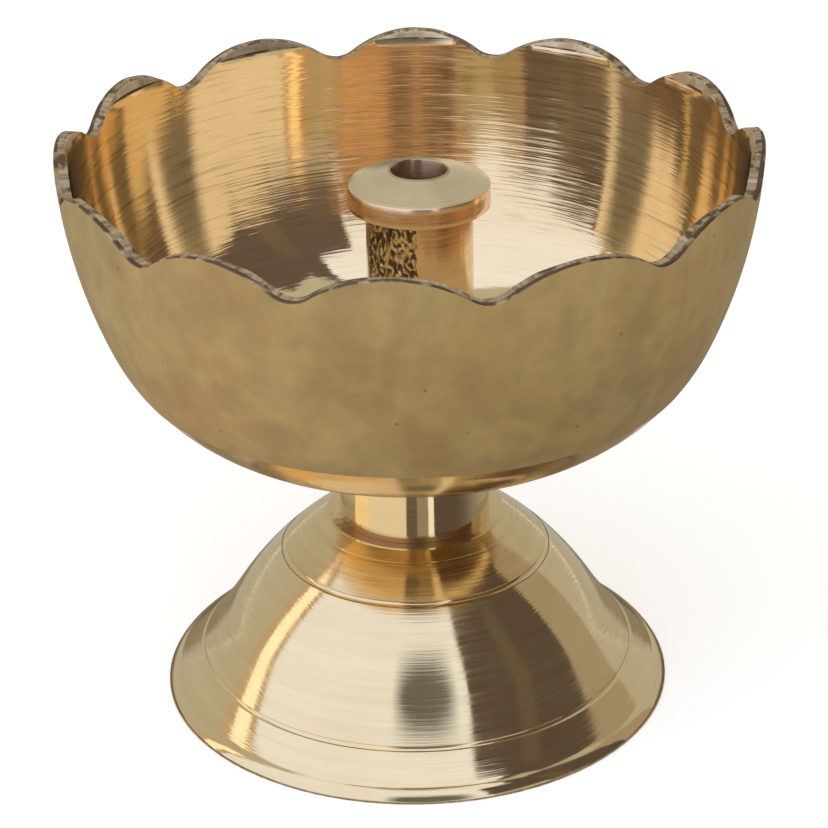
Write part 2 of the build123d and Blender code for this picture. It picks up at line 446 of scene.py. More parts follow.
# %% [markdown]
# ## The wick holder
# The holder is a loose bobbin with a drilled hole for the wick. Its flange has a coned top with a small burr
# round the hole. It is spun like the others. A slot in its foot lets the wick's tail out. A spin can't make
# that, so it is cut with a Boolean modifier.

# %% Section of the wick holder
holder_low, holder_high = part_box("wick_holder")
holder_centre_x = (holder_low.x + holder_high.x) / 2
holder_foot = holder_low.z
holder_top = holder_high.z
wick_bore_radius = 3.0 * mm
stem_radius = 5.85 * mm
flange_radius = 7.75 * mm
flange_thickness = 2.4 * mm
cone_rise = 1.55 * mm
base_radius = (holder_high.x - holder_low.x) / 2
base_thickness = 3.8 * mm
base_hollow_radius = 4.9 * mm
base_hollow_height = 3.0 * mm
flange_top = holder_top - cone_rise
flange_underside = flange_top - flange_thickness
corner = 0.10 * mm
burr_foot = (wick_bore_radius + 0.40 * mm, holder_top - 0.14 * mm)
burr_tip = (wick_bore_radius + 0.12 * mm, holder_top)

holder_section = [(base_hollow_radius, holder_foot)]
holder_section += run(holder_section[-1], (base_radius - corner, holder_foot), 2)
holder_section += run(holder_section[-1], (base_radius, holder_foot + corner), 1)
holder_section += run(holder_section[-1], (base_radius, holder_foot + base_thickness - corner), 3)
holder_section += run(holder_section[-1], (base_radius - corner, holder_foot + base_thickness), 1)
holder_section += run(holder_section[-1], (stem_radius, holder_foot + base_thickness), 2)
holder_section += run(holder_section[-1], (stem_radius, flange_underside), 120)
holder_section += run(holder_section[-1], (flange_radius - corner, flange_underside), 2)
holder_section += run(holder_section[-1], (flange_radius, flange_underside + corner), 1)
holder_section += run(holder_section[-1], (flange_radius, flange_top - corner), 3)
holder_section += run(holder_section[-1], (flange_radius - corner, flange_top), 1)
holder_section += run(holder_section[-1], burr_foot, 6)
holder_section += run(holder_section[-1], burr_tip, 2)
holder_section += run(holder_section[-1], (wick_bore_radius, holder_top - 0.15 * mm), 1)
holder_section += run(holder_section[-1], (wick_bore_radius, holder_foot + base_hollow_height), 6)
holder_section += run(holder_section[-1], (base_hollow_radius, holder_foot + base_hollow_height), 2)
holder_section += run(holder_section[-1], holder_section[0], 2)[:-1]
holder = spin_section("wick_holder_brass", holder_section, 300)

# %% Slot in the holder's foot
feed_width = 3.0 * mm
feed_height = 2.4 * mm
below_foot = 1.0 * mm           # how far the cutter reaches under the foot
skin_middle = -37.0             # the rough side's direction, in degrees from the front towards the right
feed_turn = math.radians(skin_middle - 90)
feed_reach = (base_radius + wick_bore_radius) / 2
feed_middle = holder_foot + (feed_height - below_foot) / 2
feed_place = (feed_reach * math.cos(feed_turn), feed_reach * math.sin(feed_turn), feed_middle)
deselect_everything()
bpy.ops.mesh.primitive_cube_add(size=1, location=feed_place, rotation=(0, 0, feed_turn))
feed_cutter = bpy.context.object
feed_cutter.scale = (base_radius, feed_width, feed_height + below_foot)
work_on(holder)
feed_cut = holder.modifiers.new("feed_slot", "BOOLEAN")
feed_cut.object = feed_cutter
feed_cut.operation = "DIFFERENCE"
bpy.ops.object.modifier_apply(modifier=feed_cut.name)
bpy.data.objects.remove(feed_cutter)
print("holder with its slot has", len(holder.data.polygons), "faces")

# %% [markdown]
# ## Casting skin
# One side of the stem was cast too thin to clean up on the lathe, so it kept its pitted casting skin. The
# stem has many small faces, and noise pushes those of that side in and out. The same noise is stored on the
# points, so that the material can darken the hollows and brighten the ridges.

# %% Roughening one side of the stem
skin_half_spread = 35.0
skin_depth = 0.45 * mm
skin_top = flange_underside - 0.45 * mm
skin_foot = holder_foot + base_thickness + 0.5 * mm
skin_fade = 0.4 * mm            # height over which the roughness starts and ends
edge_wander = 2.0               # degrees by which the rough side's upright edges wander
coarse_pits = 0.65 * mm
fine_pits = 0.30 * mm
pit_height = 0.16 * mm
skin_start = 0.15               # share from which a point counts as casting skin


def skin_share(place):
    """How far into the rough side a point of the stem lies: 0 outside it and 1 in its middle."""
    wander = edge_wander * noise.noise(Vector((5, 0, place.z / (1.2 * mm))))
    off_middle = abs(direction_of(place) - skin_middle) + wander
    across = min(2.5 * (1 - (off_middle / skin_half_spread) ** 2), 1)
    top_wander = skin_fade * noise.noise(Vector((place.x / (1.5 * mm), 9, 0)))
    below_top = (skin_top + top_wander - place.z) / skin_fade
    above_foot = (place.z - skin_foot) / skin_fade
    return max(0.0, across) * max(0.0, min(below_top, above_foot, 1))


grain_layer = holder.data.attributes.new("skin_grain", "FLOAT", "POINT")
skin_points = set()
for point in holder.data.vertices:
    place = point.co
    radius = math.hypot(place.x, place.y)
    if abs(radius - stem_radius) < hair and skin_foot < place.z < flange_underside - 2 * hair:
        share = skin_share(place)
        if share > 0:
            squashed = Vector((place.x, place.y, place.z * 0.7))
            ridge = 1 - 3.0 * abs(noise.noise(squashed / coarse_pits))
            grain = ridge + 0.9 * noise.noise(place / fine_pits)
            grain_layer.data[point.index].value = grain
            sunk = share * (skin_depth * 0.75 - pit_height * grain)
            place.x *= (stem_radius - sunk) / radius
            place.y *= (stem_radius - sunk) / radius
            if share > skin_start:
                skin_points.add(point.index)
print("casting skin has", len(skin_points), "points")

# %% Marking the holder's finishes
side_slot, cone_slot, skin_slot, wick_bore_slot, hole_edge_slot = range(5)
for face in holder.data.polygons:
    middle = face.center
    radius = math.hypot(middle.x, middle.y)
    if all(index in skin_points for index in face.vertices):
        face.material_index = skin_slot
    elif radius < wick_bore_radius + hair:
        face.material_index = wick_bore_slot
    elif middle.z > flange_top and radius < burr_foot[0]:
        face.material_index = hole_edge_slot
    elif middle.z > flange_top - hair:
        face.material_index = cone_slot
    else:
        face.material_index = side_slot
for point in holder.data.vertices:
    point.co.x += holder_centre_x
smooth_by_angle(holder, 50)
print("finishes marked on", len(holder.data.polygons), "faces of the holder")

# %% [markdown]
# ## Brass
# Brass is a coloured mirror, so its look comes from how rough it is and from what stands round it. Two node
# groups are shared by its finishes. One gives lathe lines: noise stretched into rings about an axis. The
# other gives clouds, upright streaks and pits, for metal that was handled and cleaned.

# %% Node helpers
def add_node(tree, kind, **settings):
    node = tree.nodes.new(kind)
    for name, value in settings.items():
        setattr(node, name, value)
    return node


def feed(tree, socket, value):
    """Put a number, a colour or another node's output into a socket."""
    if isinstance(value, bpy.types.NodeSocket):
        tree.links.new(value, socket)
    else:
        socket.default_value = value


def math_node(tree, operation, first, second=0.0):
    node = add_node(tree, "ShaderNodeMath", operation=operation)
    feed(tree, node.inputs[0], first)
    feed(tree, node.inputs[1], second)
    return node.outputs[0]


def stretched(tree, value, low, high, new_low=0.0, new_high=1.0):
    """Map a range of values to another, held at its ends."""
    node = add_node(tree, "ShaderNodeMapRange")
    feed(tree, node.inputs["Value"], value)
    for name, end in (("From Min", low), ("From Max", high), ("To Min", new_low), ("To Max", new_high)):
        feed(tree, node.inputs[name], end)
    return node.outputs["Result"]


def mixed(tree, share, first, second):
    """Mix two colours, each a colour or another node's output."""
    node = add_node(tree, "ShaderNodeMix", data_type="RGBA")
    feed(tree, node.inputs["Factor"], share)
    for socket, colour in ((node.inputs["A"], first), (node.inputs["B"], second)):
        feed(tree, socket, colour if isinstance(colour, bpy.types.NodeSocket) else (*colour, 1))
    return node.outputs["Result"]


# %% Helpers for places and groups
def axes_of(tree, place):
    """The X, Y and Z of a place, as outputs with those names."""
    node = add_node(tree, "ShaderNodeSeparateXYZ")
    feed(tree, node.inputs[0], place)
    return node.outputs


def place_of(tree, x, y, z=0.0):
    """A place put together from its X, Y and Z."""
    node = add_node(tree, "ShaderNodeCombineXYZ")
    for name, value in (("X", x), ("Y", y), ("Z", z)):
        feed(tree, node.inputs[name], value)
    return node.outputs[0]


def noise_node(tree, place, scale, detail):
    node = add_node(tree, "ShaderNodeTexNoise")
    feed(tree, node.inputs["Vector"], place)
    feed(tree, node.inputs["Scale"], scale)
    node.inputs["Detail"].default_value = detail
    return node.outputs["Fac"]


def new_group(name, inputs, outputs):
    group = bpy.data.node_groups.new(name, "ShaderNodeTree")
    for label, kind in inputs:
        group.interface.new_socket(label, in_out="INPUT", socket_type=kind)
    for label in outputs:
        group.interface.new_socket(label, in_out="OUTPUT", socket_type="NodeSocketFloat")
    return group, add_node(group, "NodeGroupInput"), add_node(group, "NodeGroupOutput")


# %% Group for lathe lines
number = "NodeSocketFloat"
lathe, given, result = new_group(
    "lathe_lines",
    (("Place", "NodeSocketVector"), ("Lines per mm", number), ("Height Share", number)),
    ("Lines", "Broad Lines"))
apart = axes_of(lathe, given.outputs["Place"])
square_x = math_node(lathe, "MULTIPLY", apart["X"], apart["X"])
square_y = math_node(lathe, "MULTIPLY", apart["Y"], apart["Y"])
from_axis = math_node(lathe, "SQRT", math_node(lathe, "ADD", square_x, square_y))
risen = math_node(lathe, "MULTIPLY", apart["Z"], given.outputs["Height Share"])
along_section = math_node(lathe, "ADD", from_axis, risen)
lines_per_metre = math_node(lathe, "MULTIPLY", given.outputs["Lines per mm"], 1000.0)
around = 100.0                  # how often a line changes on its way round, per metre
broad_scale = 0.21              # how many broad lines there are for each fine one
ring_place = place_of(
    lathe,
    math_node(lathe, "MULTIPLY", along_section, lines_per_metre),
    math_node(lathe, "MULTIPLY", apart["X"], around),
    math_node(lathe, "MULTIPLY", apart["Y"], around))
feed(lathe, result.inputs["Lines"], noise_node(lathe, ring_place, 1.0, 2.0))
feed(lathe, result.inputs["Broad Lines"], noise_node(lathe, ring_place, broad_scale, 3.0))
print("node group", lathe.name)

# %% Group for stains
stains, given, result = new_group(
    "stains",
    (("Place", "NodeSocketVector"), ("Scale", number)),
    ("Clouds", "Streaks", "Pits"))
streak_squash = 0.13            # streaks are this much slower to change upright than across
pit_chance = 0.14               # share of the cells that have a pit
largest_pit = 0.16
clouds = noise_node(stains, given.outputs["Place"], given.outputs["Scale"], 5.0)
feed(stains, result.inputs["Clouds"], clouds)
upright = add_node(stains, "ShaderNodeVectorMath", operation="MULTIPLY")
stains.links.new(given.outputs["Place"], upright.inputs[0])
upright.inputs[1].default_value = (1.0, 1.0, streak_squash)
streak_scale = math_node(stains, "MULTIPLY", given.outputs["Scale"], 3.0)
feed(stains, result.inputs["Streaks"], noise_node(stains, upright.outputs[0], streak_scale, 4.0))
cells = add_node(stains, "ShaderNodeTexVoronoi")
stains.links.new(given.outputs["Place"], cells.inputs["Vector"])
feed(stains, cells.inputs["Scale"], math_node(stains, "MULTIPLY", given.outputs["Scale"], 6.0))
chance = axes_of(stains, cells.outputs["Color"])
chosen = math_node(stains, "GREATER_THAN", chance["X"], 1 - pit_chance)
pit_size = math_node(stains, "MULTIPLY", chance["Y"], largest_pit)
near_pit = math_node(stains, "LESS_THAN", cells.outputs["Distance"], pit_size)
feed(stains, result.inputs["Pits"], math_node(stains, "MULTIPLY", chosen, near_pit))
print("node group", stains.name)

# %% [markdown]
# ## Finishes of the brass
# Each finish is one material: a plain Principled BSDF, whose colour, roughness and bump come from the groups
# or from noise. It starts out fully metallic, and dull finishes are made less so. Where a surface was turned,
# fine rings tilt the reflections a little up and down, which makes their edges ragged, as on the real lamp.

# %% Starting a brass material
def empty_material(name):
    """A material, its node tree and the socket that its shader goes into."""
    material = bpy.data.materials.new(name)
    material.use_nodes = True
    tree = material.node_tree
    tree.nodes.clear()
    output = add_node(tree, "ShaderNodeOutputMaterial")
    print("material", name)
    return material, tree, output.inputs["Surface"]


def new_brass(name, middle=(0.0, 0.0, 0.0)):
    """A metallic material, with its position node centred on an axis."""
    material, tree, surface = empty_material(name)
    shader = add_node(tree, "ShaderNodeBsdfPrincipled")
    shader.inputs["Metallic"].default_value = 1.0
    tree.links.new(shader.outputs["BSDF"], surface)
    place = add_node(tree, "ShaderNodeTexCoord")
    centred = add_node(tree, "ShaderNodeMapping", vector_type="TEXTURE")
    centred.inputs["Location"].default_value = middle
    tree.links.new(place.outputs["Object"], centred.inputs["Vector"])
    return material, tree, shader, centred.outputs["Vector"]


def use_group(tree, group, place, **numbers):
    node = add_node(tree, "ShaderNodeGroup", node_tree=group)
    tree.links.new(place, node.inputs["Place"])
    for name, value in numbers.items():
        node.inputs[name.replace("_", " ")].default_value = value
    return node.outputs


def dress(tree, shader, **looks):
    """Feed sockets of the shader, such as Base_Color, with numbers or other nodes' outputs."""
    for name, value in looks.items():
        feed(tree, shader.inputs[name.replace("_", " ")], value)


def add_bump(tree, shader, height, depth):
    bump = add_node(tree, "ShaderNodeBump")
    bump.inputs["Distance"].default_value = depth
    feed(tree, bump.inputs["Height"], height)
    tree.links.new(bump.outputs["Normal"], shader.inputs["Normal"])


# %% Turned brass
def smear_across_lines(tree, shader, place, amount):
    """Blur reflections across the lathe lines more than along them."""
    apart = axes_of(tree, place)
    along = place_of(tree, math_node(tree, "MULTIPLY", apart["Y"], -1.0), apart["X"])
    dress(tree, shader, Tangent=along, Anisotropic=amount, Anisotropic_Rotation=0.25)


def turned_brass(name, pale, deep, roughness, line_depth, height_share, lines=2.6, broad=1.0,
                 middle=(0, 0, 0), scratched=1.4, grime=0.0):
    """Brass with lathe lines. The lines run where radius plus a share of height stays the same.

    Scratched is how much rougher the worst lines are than the rest, and grime how much dirt lies in them.
    """
    material, tree, shader, place = new_brass(name, middle)
    smear_across_lines(tree, shader, place, 0.8)
    rings = use_group(tree, lathe, place, Lines_per_mm=lines, Height_Share=height_share)
    marks = use_group(tree, stains, place, Scale=80.0)
    share = stretched(tree, math_node(tree, "ADD", marks["Clouds"], rings["Broad Lines"]), 0.75, 1.25)
    dirt = tuple(0.35 * part for part in deep)
    dirt_share = stretched(tree, rings["Lines"], 0.30, 0.44, grime, 0.0)
    colour = mixed(tree, dirt_share, mixed(tree, share, deep, pale), dirt)
    wear = math_node(tree, "ADD", rings["Lines"], marks["Clouds"])
    worn = stretched(tree, wear, 0.85, 1.25, roughness * 0.7, roughness * scratched)
    dress(tree, shader, Base_Color=colour, Roughness=worn)
    broad_height = math_node(tree, "MULTIPLY", rings["Broad Lines"], broad)
    add_bump(tree, shader, math_node(tree, "ADD", rings["Lines"], broad_height), line_depth)
    return material


# %% Finishes straight from the lathe
holder_axis = (holder_centre_x, 0, 0)
polished = turned_brass(
    "polished_brass", (0.86, 0.70, 0.42), (0.81, 0.64, 0.37), roughness=0.065, line_depth=0.011 * mm,
    height_share=-1.0, lines=3.2, broad=0.3, scratched=2.6, grime=0.08)
# Darker colour than the polished brass: painted shade of the bowl's underside. The rougher turning is the
# band's own.
turned_band_with_shade = turned_brass(
    "turned_band_with_shade", (0.81, 0.59, 0.30), (0.70, 0.49, 0.24), roughness=0.14, line_depth=0.010 * mm,
    height_share=-1.0, broad=0.5, scratched=1.8, grime=0.2)
turned_shoulder = turned_brass(
    "turned_shoulder", (0.85, 0.68, 0.40), (0.74, 0.56, 0.30), roughness=0.12, line_depth=0.009 * mm,
    height_share=-1.0, lines=3.0, broad=0.3, scratched=1.6, grime=0.1)
holder_side = turned_brass(
    "holder_side", (0.92, 0.66, 0.42), (0.80, 0.55, 0.33), roughness=0.24, line_depth=0.003 * mm,
    height_share=1.0, lines=3.0, broad=0.0, middle=holder_axis)
holder_cone = turned_brass(
    "holder_cone", (0.86, 0.74, 0.48), (0.79, 0.66, 0.42), roughness=0.30, line_depth=0.004 * mm,
    height_share=-1.0, lines=4.0, broad=0.4, middle=holder_axis)
holder_burr = turned_brass(
    "holder_burr", (0.66, 0.54, 0.36), (0.26, 0.18, 0.11), roughness=0.34, line_depth=0.020 * mm,
    height_share=0.0, lines=2.0, middle=holder_axis)
drilled_bore = turned_brass(
    "drilled_bore", (0.46, 0.31, 0.19), (0.32, 0.21, 0.12), roughness=0.40, line_depth=0.010 * mm,
    height_share=1.0, lines=3.0, middle=holder_axis)
machined = turned_brass(
    "machined_brass", (0.80, 0.64, 0.36), (0.70, 0.54, 0.29), roughness=0.25, line_depth=0.006 * mm,
    height_share=1.0, lines=3.0)

# %% [markdown]
# ## Inside of the bowl
# The turning tool left coarser lines towards the back of the wall. There, and higher up the wall, the colour
# turns redder: painted reflection of the warm light that the bowl's walls throw at each other. The sides are
# brighter, and the floor was buffed. Separate materials would meet in hard seams, so one material is mixed by
# place: Y says how far back a point lies, and Z how far up the wall.

# %% Turned inside of the bowl
turned_inside, tree, shader, place = new_brass("turned_inside")
smear_across_lines(tree, shader, place, 0.8)
rings = use_group(tree, lathe, place, Lines_per_mm=2.6, Height_Share=1.0)
marks = use_group(tree, stains, place, Scale=80.0)
apart = axes_of(tree, place)
towards_back = stretched(tree, apart["Y"], 8 * mm, 28 * mm)
up_the_wall = stretched(tree, apart["Z"], 37 * mm, 46 * mm)
coarse = math_node(tree, "MULTIPLY", towards_back, up_the_wall)
bright_share = stretched(tree, math_node(tree, "ADD", marks["Clouds"], rings["Broad Lines"]), 0.75, 1.25)
bright = mixed(tree, bright_share, (0.85, 0.68, 0.41), (0.92, 0.77, 0.48))
# Redder colour at the back and high on the wall: painted reflection of the bowl's warm walls.
back_reflection_share = stretched(tree, coarse, 0.0, 1.0, 0.0, 0.6)
with_back_reflection = mixed(tree, back_reflection_share, bright, (0.95, 0.69, 0.38))
line_dirt = stretched(tree, rings["Lines"], 0.30, 0.44, 0.38, 0.0)
dirt_share = math_node(tree, "MULTIPLY", line_dirt, up_the_wall)
lined = mixed(tree, dirt_share, with_back_reflection, (0.29, 0.22, 0.13))
wear = math_node(tree, "ADD", rings["Lines"], marks["Clouds"])
fine_wear = stretched(tree, wear, 0.85, 1.25, 0.035, 0.08)
coarse_wear = stretched(tree, wear, 0.85, 1.25, 0.050, 0.13)
worn = stretched(tree, coarse, 0.0, 1.0, fine_wear, coarse_wear)
dulled = stretched(tree, coarse, 0.0, 1.0, 0.98, 0.91)
dress(tree, shader, Base_Color=lined, Roughness=worn, Metallic=dulled)

# %% Lines inside the bowl
broad_height = math_node(tree, "MULTIPLY", rings["Broad Lines"], 0.7)
line_height = math_node(tree, "ADD", rings["Lines"], broad_height)
fine_share = stretched(tree, up_the_wall, 0.0, 1.0, 0.25, 0.75)
line_share = stretched(tree, coarse, 0.0, 1.0, fine_share, 1.6)
add_bump(tree, shader, math_node(tree, "MULTIPLY", line_height, line_share), 0.014 * mm)

# %% [markdown]
# ## Land round the neck
# The land is dark brown where the neck meets the pedestal. The dark ring is thickest a little left of the
# front, and it gives way to bare brass towards the back and along the edge. A mask from the direction and
# from the distance to the axis keeps it sharp at any size, which a painted texture would not.

# %% Dark ring on the land round the neck
dark_ring_middle = math.radians(-15)
edge_start = land_radius - 0.45 * mm
edge_end = land_radius - 0.30 * mm
dark_land_ring, tree, shader, place = new_brass("dark_land_ring")
apart = axes_of(tree, place)
turn = math_node(tree, "ARCTAN2", apart["X"], math_node(tree, "MULTIPLY", apart["Y"], -1.0))
from_middle = math_node(tree, "ABSOLUTE", math_node(tree, "SUBTRACT", turn, dark_ring_middle))
dark_ring_edge = math_node(tree, "ADD", from_middle, noise_node(tree, place, 700.0, 3.0))
brass_ends = stretched(tree, dark_ring_edge, math.radians(76), math.radians(98))
flat_place = add_node(tree, "ShaderNodeVectorMath", operation="MULTIPLY")
feed(tree, flat_place.inputs[0], place)
flat_place.inputs[1].default_value = (1.0, 1.0, 0.0)
from_axis = add_node(tree, "ShaderNodeVectorMath", operation="LENGTH")
feed(tree, from_axis.inputs[0], flat_place.outputs[0])
brass_edge = stretched(tree, from_axis.outputs["Value"], edge_start, edge_end)
brass_share = math_node(tree, "MAXIMUM", brass_ends, brass_edge)
# Dark brown ring where the mask is 0, bare brass where it is 1.
ring_colour = mixed(tree, brass_share, (0.42, 0.24, 0.125), (0.80, 0.63, 0.37))
dress(tree, shader, Base_Color=ring_colour, Roughness=stretched(tree, brass_share, 0.0, 1.0, 0.38, 0.12))

# %% [markdown]
# ## Outside of the bowl
# The outside was never polished. It is a dull olive gold, with clouds, upright streaks, stains and a few
# pits. Each kind of mark is one mix on top of the last, from the broadest to the finest, so that each can be
# set on its own.

# %% Satin outside
satin, tree, shader, place = new_brass("satin_outside")
broad_marks = use_group(tree, stains, place, Scale=48.0)
small_marks = use_group(tree, stains, place, Scale=120.0)
cloud_share = stretched(tree, broad_marks["Clouds"], 0.36, 0.66)
olive_gold = mixed(tree, cloud_share, (0.51, 0.330, 0.102), (0.51, 0.368, 0.145))
stain_share = stretched(tree, small_marks["Clouds"], 0.44, 0.64, 0.0, 0.6)
stained = mixed(tree, stain_share, olive_gold, (0.37, 0.225, 0.075))
streak_share = stretched(tree, broad_marks["Streaks"], 0.48, 0.68, 0.0, 0.35)
streaked = mixed(tree, streak_share, stained, (0.36, 0.215, 0.070))
thin_streaks = stretched(tree, small_marks["Streaks"], 0.52, 0.70, 0.0, 0.25)
scuffed = mixed(tree, thin_streaks, streaked, (0.33, 0.20, 0.072))
mottle_share = stretched(tree, noise_node(tree, place, 420.0, 5.0), 0.40, 0.68, 0.0, 0.35)
mottled = mixed(tree, mottle_share, scuffed, (0.31, 0.20, 0.085))
pit_share = math_node(tree, "MULTIPLY", small_marks["Pits"], 0.6)
pitted = mixed(tree, pit_share, mottled, (0.14, 0.09, 0.05))
satin_wear = stretched(tree, broad_marks["Clouds"], 0.3, 0.7, 0.50, 0.60)
dress(tree, shader, Base_Color=pitted, Roughness=satin_wear, Metallic=0.35)
fine_grain = noise_node(tree, place, 1900.0, 3.0)
add_bump(tree, shader, math_node(tree, "SUBTRACT", fine_grain, small_marks["Pits"]), 0.006 * mm)

# %% [markdown]
# ## Edges of the rim
# The file left short strokes across the rim, a dark ragged burr along its outer edge, and a worn bevel inside
# the tips. The strokes are noise that runs with the direction round the rim, so they lie square to it all the
# way round.

# %% Filed rim
strokes_round = 38.0 * 2.4      # file strokes in one radian of the rim
strokes_up = 300.0              # and in one metre of height
filed_rim, tree, shader, place = new_brass("filed_rim")
apart = axes_of(tree, place)
turn = math_node(tree, "ARCTAN2", apart["X"], apart["Y"])
along_rim = math_node(tree, "MULTIPLY", turn, strokes_round)
up_rim = math_node(tree, "MULTIPLY", apart["Z"], strokes_up)
strokes = noise_node(tree, place_of(tree, along_rim, up_rim), 1.0, 3.0)
chips = noise_node(tree, place, 700.0, 4.0)
ground = mixed(tree, stretched(tree, strokes, 0.30, 0.70), (0.32, 0.22, 0.13), (0.80, 0.65, 0.43))
chipped = mixed(tree, stretched(tree, chips, 0.50, 0.61, 0.0, 0.85), ground, (0.11, 0.07, 0.05))
dress(tree, shader, Base_Color=chipped, Roughness=0.45)
add_bump(tree, shader, math_node(tree, "SUBTRACT", strokes, chips), 0.05 * mm)

# %% Burr along the rim
rim_burr, tree, shader, place = new_brass("rim_burr")
nicks = noise_node(tree, place, 500.0, 4.0)
nick_share = stretched(tree, nicks, 0.40, 0.50)
nicked = mixed(tree, nick_share, (0.52, 0.40, 0.24), (0.17, 0.11, 0.065))
dress(tree, shader, Base_Color=nicked, Roughness=0.50)

# %% Worn bevel inside the tips
worn_bevel, tree, shader, place = new_brass("worn_bevel")
rubs = noise_node(tree, place, 350.0, 5.0)
rubbed_metal = mixed(tree, stretched(tree, rubs, 0.38, 0.60), (0.46, 0.33, 0.18), (0.80, 0.65, 0.42))
dress(tree, shader, Base_Color=rubbed_metal, Roughness=0.32, Metallic=0.75)
add_bump(tree, shader, rubs, 0.02 * mm)

# %% [markdown]
# ## Cast surfaces
# Metal that was never turned keeps the look of its mould. The rough side of the stem is dark in its hollows
# and bright on its rubbed ridges, by the noise that is stored on its points. The inside of the bell shows the
# grain of the sand.

# %% Casting skin
casting_skin, tree, shader, place = new_brass("casting_skin")
stored = add_node(tree, "ShaderNodeAttribute", attribute_name="skin_grain")
ridge_share = stretched(tree, stored.outputs["Fac"], 0.15, 0.95)
ridged = mixed(tree, ridge_share, (0.14, 0.09, 0.055), (0.90, 0.68, 0.34))
dress(tree, shader, Base_Color=ridged, Roughness=0.34)
add_bump(tree, shader, noise_node(tree, place, 4000.0, 2.0), 0.02 * mm)

# %% Sand-cast inside of the bell
sand_cast, tree, shader, place = new_brass("sand_cast")
sand = noise_node(tree, place, 1300.0, 4.0)
sand_share = stretched(tree, sand, 0.35, 0.65)
grainy = mixed(tree, sand_share, (0.16, 0.11, 0.06), (0.46, 0.34, 0.17))
dress(tree, shader, Base_Color=grainy, Roughness=stretched(tree, sand, 0.3, 0.7, 0.40, 0.60))
add_bump(tree, shader, sand, 0.25 * mm)

# %% [markdown]
# ## Joining the finishes and the frame
# Each piece gets its finishes in the order of its slots. Each spun piece then stands in for its CAD node and
# moves with that node's body.

# %% Giving the finishes to the pieces
for piece, finishes in (
    (bowl, (filed_rim, turned_inside, satin, polished, drilled_bore, rim_burr, worn_bevel, turned_band_with_shade)),
    (pedestal, (polished, sand_cast, dark_land_ring, turned_shoulder)),
    (holder, (holder_side, holder_cone, casting_skin, drilled_bore, holder_burr)),
):
    for finish in finishes:
        piece.data.materials.append(finish)
    print(piece.name, "has", len(finishes), "finishes")
for name in ("clamp_bolt", "washer", "nut"):
    nodes[name].data.materials.clear()
    nodes[name].data.materials.append(machined)

# %% Riding and replacing
for piece, body, node, slot in (
    (bowl, "lamp", "bowl", "bowl_brass"),
    (pedestal, "lamp", "pedestal", "pedestal_brass"),
    (holder, "wick_holder", "wick_holder", "holder_brass"),
):
    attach(piece, body)
    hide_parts(node)
    print(piece.name, "rides on", body)

# %% [markdown]
# ## Floor
# The lamp stands on a plain pale floor. The floor is matt and takes the lamp's soft shadow. A little glow,
# which only the camera and mirrors see, lifts it to white without putting more light on the lamp.

# %% Floor paper
def plain_surface(name, colour, glow):
    """A matt surface that the camera and mirrors see lifted towards white."""
    material, tree, surface = empty_material(name)
    matt = add_node(tree, "ShaderNodeBsdfDiffuse")
    matt.inputs["Color"].default_value = (*colour, 1)
    lift = add_node(tree, "ShaderNodeEmission")
    path = add_node(tree, "ShaderNodeLightPath")
    seen = math_node(tree, "ADD", path.outputs["Is Camera Ray"], path.outputs["Is Glossy Ray"])
    seen = math_node(tree, "ADD", seen, path.outputs["Is Transmission Ray"])
    tree.links.new(math_node(tree, "MULTIPLY", seen, glow), lift.inputs["Strength"])
    both = add_node(tree, "ShaderNodeAddShader")
    tree.links.new(matt.outputs[0], both.inputs[0])
    tree.links.new(lift.outputs[0], both.inputs[1])
    tree.links.new(both.outputs[0], surface)
    return material


floor_size = 20
deselect_everything()
bpy.ops.mesh.primitive_plane_add(size=floor_size, location=(0, 0, 0))
studio_floor = bpy.context.object
studio_floor.name = "studio_floor"
studio_floor.data.materials.append(plain_surface("floor_paper", (0.84, 0.82, 0.76), 0.52))
print("floor is", floor_size, "m wide")

# %% [markdown]
# ## Light
# Polished metal shows whatever is round it, so the studio is built from large plain screens. Area lamps would
# light it too, but a screen can be curved and cut to the shape of a reflection. A soft window wraps the front
# and the left and reaches overhead, and it gives the light. Screens that only the metal sees add a sunlit
# window frame on the left, dark cloth on the right and a soft grey patch at the front. The rest of the room
# is an even warm grey.

# %% Sheets of the studio
def glowing(name, colour):
    """A surface that gives off one even light."""
    material, tree, surface = empty_material(name)
    light = add_node(tree, "ShaderNodeEmission")
    light.inputs["Color"].default_value = (*colour, 1)
    tree.links.new(light.outputs[0], surface)
    return material


def studio_sheet(name, points, faces, material, lights=False):
    """A sheet that the camera doesn't see. One that doesn't light is seen only in the metal."""
    mesh = bpy.data.meshes.new(name)
    mesh.from_pydata(points, [], faces)
    mesh.materials.append(material)
    sheet = bpy.data.objects.new(name, mesh)
    bpy.context.scene.collection.objects.link(sheet)
    sheet.visible_camera = False
    sheet.visible_diffuse = lights
    sheet.visible_shadow = lights
    print("studio sheet", name)
    return sheet


# %% Shape of a screen
screen_columns = 24
screen_rows = 12


def curved_screen(name, left, right, low, high, distance, material, rise=0, lean=0, lights=False):
    """Part of a globe round the lamp, between two directions and two elevations, in degrees.

    Its top edge can rise from left to right, and its left edge can lean to the right.
    """
    points = []
    for row in range(screen_rows + 1):
        leaning_left = left + lean * row / screen_rows
        for column in range(screen_columns + 1):
            across_share = column / screen_columns
            top = high + rise * across_share
            elevation = math.radians(low + (top - low) * row / screen_rows)
            direction = math.radians(leaning_left + (right - leaning_left) * across_share)
            flat = distance * math.cos(elevation)
            across = (flat * math.sin(direction), -flat * math.cos(direction))
            points.append((*across, distance * math.sin(elevation)))
    faces = []
    for row in range(screen_rows):
        for column in range(screen_columns):
            first = row * (screen_columns + 1) + column
            above = first + screen_columns + 1
            faces.append((first, first + 1, above + 1, above))
    return studio_sheet(name, points, faces, material, lights)


